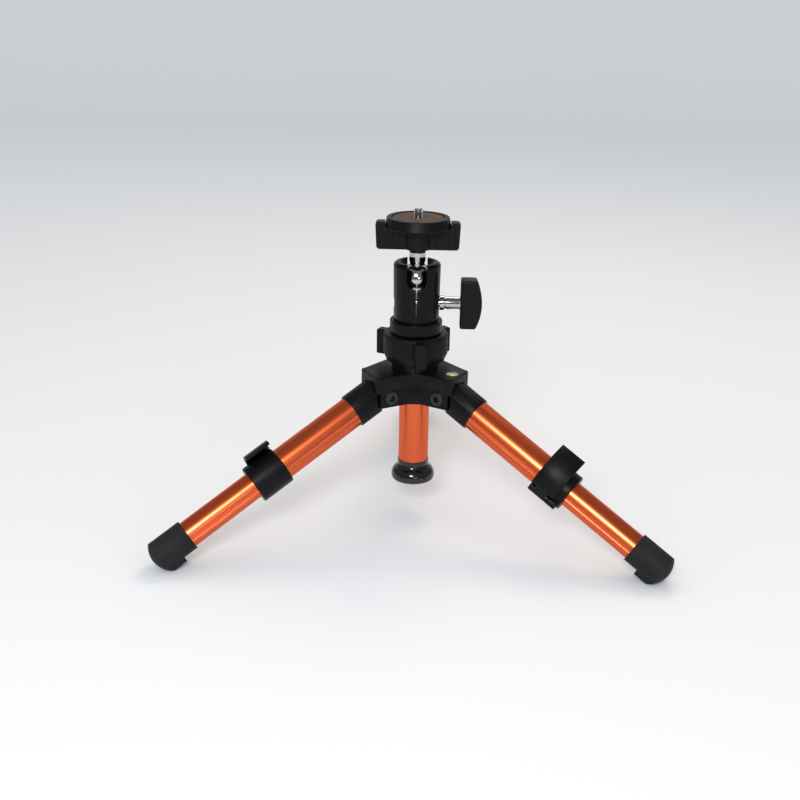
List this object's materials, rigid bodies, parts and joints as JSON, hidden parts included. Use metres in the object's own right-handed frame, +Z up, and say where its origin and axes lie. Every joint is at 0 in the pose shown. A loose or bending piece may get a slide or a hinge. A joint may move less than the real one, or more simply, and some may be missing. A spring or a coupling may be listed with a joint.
{
  "type": "tabletop tripod",
  "caption": "Tabletop camera tripod: three folding two-section legs with flip locks, a sliding column and a ball head with a side clamp knob, platform and camera screw.",
  "frame": {"origin": "on the ground under the centre of the footprint's box; the column's axis stands a little in front of it", "axes": "+Z up along the column, +X to the side of the clamp knob, +Y towards the rear leg"},
  "size_m": [0.3406, 0.298, 0.2217],
  "materials": {
    "anodised_orange": "satin anodised",
    "black_plastic": "fine moulded texture",
    "black_satin_metal": "satin",
    "gloss_black": "gloss",
    "nylon_white": "natural nylon",
    "chrome": "bright",
    "steel_zinc": "zinc plated",
    "black_steel": "black oxide",
    "foot_rubber": "matt",
    "pad_rubber": "fine ribs",
    "level_fluid": "tinted fluid",
    "level_window": "clear"
  },
  "bodies": {
    "hub": {"hub": "black_plastic", "level_cup": "black_plastic", "level_fluid": "level_fluid", "level_window": "level_window", "right_leg_pivot_bolt": "black_steel", "right_leg_pivot_nut": "black_steel", "rear_leg_pivot_bolt": "black_steel", "rear_leg_pivot_nut": "black_steel", "left_leg_pivot_bolt": "black_steel", "left_leg_pivot_nut": "black_steel"},
    "lock_ring": {"lock_ring": "black_plastic"},
    "collet": {"column_collet": "nylon_white"},
    "column": {"column_tube": "anodised_orange", "column_head_plate": "black_satin_metal", "head_stud": "steel_zinc", "column_end_cap": "gloss_black", "head_housing": "black_satin_metal", "ball_seat": "nylon_white", "clamp_nut": "steel_zinc"},
    "clamp": {"clamp_screw": "chrome", "clamp_knob": "black_plastic"},
    "ball": {"ball_stem": "chrome", "camera_plate": "black_plastic", "camera_pad": "pad_rubber", "camera_screw": "chrome"},
    "wing_knob": {"wing_knob": "black_plastic"},
    "right_upper_leg": {"right_leg_knuckle": "black_plastic", "right_leg_upper_tube": "anodised_orange", "right_leg_lock_collar": "black_plastic", "right_leg_lever_pin": "steel_zinc", "right_leg_brake_shoe": "nylon_white"},
    "right_lower_leg": {"right_leg_lower_tube": "anodised_orange", "right_leg_tube_guide": "nylon_white", "right_leg_foot": "foot_rubber"},
    "right_lever": {"right_leg_lock_lever": "black_plastic"},
    "rear_upper_leg": {"rear_leg_knuckle": "black_plastic", "rear_leg_upper_tube": "anodised_orange", "rear_leg_lock_collar": "black_plastic", "rear_leg_lever_pin": "steel_zinc", "rear_leg_brake_shoe": "nylon_white"},
    "rear_lower_leg": {"rear_leg_lower_tube": "anodised_orange", "rear_leg_tube_guide": "nylon_white", "rear_leg_foot": "foot_rubber"},
    "rear_lever": {"rear_leg_lock_lever": "black_plastic"},
    "left_upper_leg": {"left_leg_knuckle": "black_plastic", "left_leg_upper_tube": "anodised_orange", "left_leg_lock_collar": "black_plastic", "left_leg_lever_pin": "steel_zinc", "left_leg_brake_shoe": "nylon_white"},
    "left_lower_leg": {"left_leg_lower_tube": "anodised_orange", "left_leg_tube_guide": "nylon_white", "left_leg_foot": "foot_rubber"},
    "left_lever": {"left_leg_lock_lever": "black_plastic"}
  },
  "joints": [
    {"name": "right_leg_fold", "type": "hinge", "parent": "hub", "child": "right_upper_leg", "pos_m": [0.02096, -0.05726, 0.09605], "axis": [0.5, 0.866, 0], "range_deg": [0, 60]},
    {"name": "right_leg_retract", "type": "slide", "parent": "right_upper_leg", "child": "right_lower_leg", "axis": [-0.7589, 0.4382, 0.4818], "range_m": [0, 0.0529]},
    {"name": "right_lever_open", "type": "hinge", "parent": "right_upper_leg", "child": "right_lever", "pos_m": [0.08315, -0.1076, 0.04884], "axis": [0.7589, -0.4382, -0.4818], "range_deg": [0, 110]},
    {"name": "rear_leg_fold", "type": "hinge", "parent": "hub", "child": "rear_upper_leg", "pos_m": [0, -0.02096, 0.09605], "axis": [-1, 0, 0], "range_deg": [0, 60]},
    {"name": "rear_leg_retract", "type": "slide", "parent": "rear_upper_leg", "child": "rear_lower_leg", "axis": [0, -0.8763, 0.4818], "range_m": [0, 0.0529]},
    {"name": "rear_lever_open", "type": "hinge", "parent": "rear_upper_leg", "child": "rear_lever", "pos_m": [0.0125, 0.05807, 0.04884], "axis": [0, 0.8763, -0.4818], "range_deg": [0, 110]},
    {"name": "left_leg_fold", "type": "hinge", "parent": "hub", "child": "left_upper_leg", "pos_m": [-0.02096, -0.05726, 0.09605], "axis": [0.5, -0.866, 0], "range_deg": [0, 60]},
    {"name": "left_leg_retract", "type": "slide", "parent": "left_upper_leg", "child": "left_lower_leg", "axis": [0.7589, 0.4382, 0.4818], "range_m": [0, 0.0529]},
    {"name": "left_lever_open", "type": "hinge", "parent": "left_upper_leg", "child": "left_lever", "pos_m": [-0.09565, -0.08595, 0.04884], "axis": [-0.7589, -0.4382, -0.4818], "range_deg": [0, 110]},
    {"name": "lock_ring_turn", "type": "hinge", "parent": "hub", "child": "lock_ring", "pos_m": [0, -0.04516, 0.11825], "axis": [0, 0, 1], "range_deg": [0, 90]},
    {"name": "column_pan", "type": "hinge", "parent": "hub", "child": "collet", "pos_m": [0, -0.04516, 0.11225], "axis": [0, 0, 1], "continuous": true},
    {"name": "column_lift", "type": "slide", "parent": "collet", "child": "column", "axis": [0, 0, 1], "range_m": [0, 0.045]},
    {"name": "clamp_turn", "type": "hinge", "parent": "column", "child": "clamp", "pos_m": [0.0296, -0.04516, 0.15795], "axis": [1, 0, 0], "range_deg": [0, 360]},
    {"name": "ball_tilt", "type": "hinge", "parent": "column", "child": "ball", "pos_m": [0, -0.04516, 0.17525], "axis": [1, 0, 0], "range_deg": [-90, 90]},
    {"name": "wing_knob_turn", "type": "hinge", "parent": "ball", "child": "wing_knob", "pos_m": [0, -0.04516, 0.19485], "axis": [0, 0, 1], "continuous": true}
  ]
}
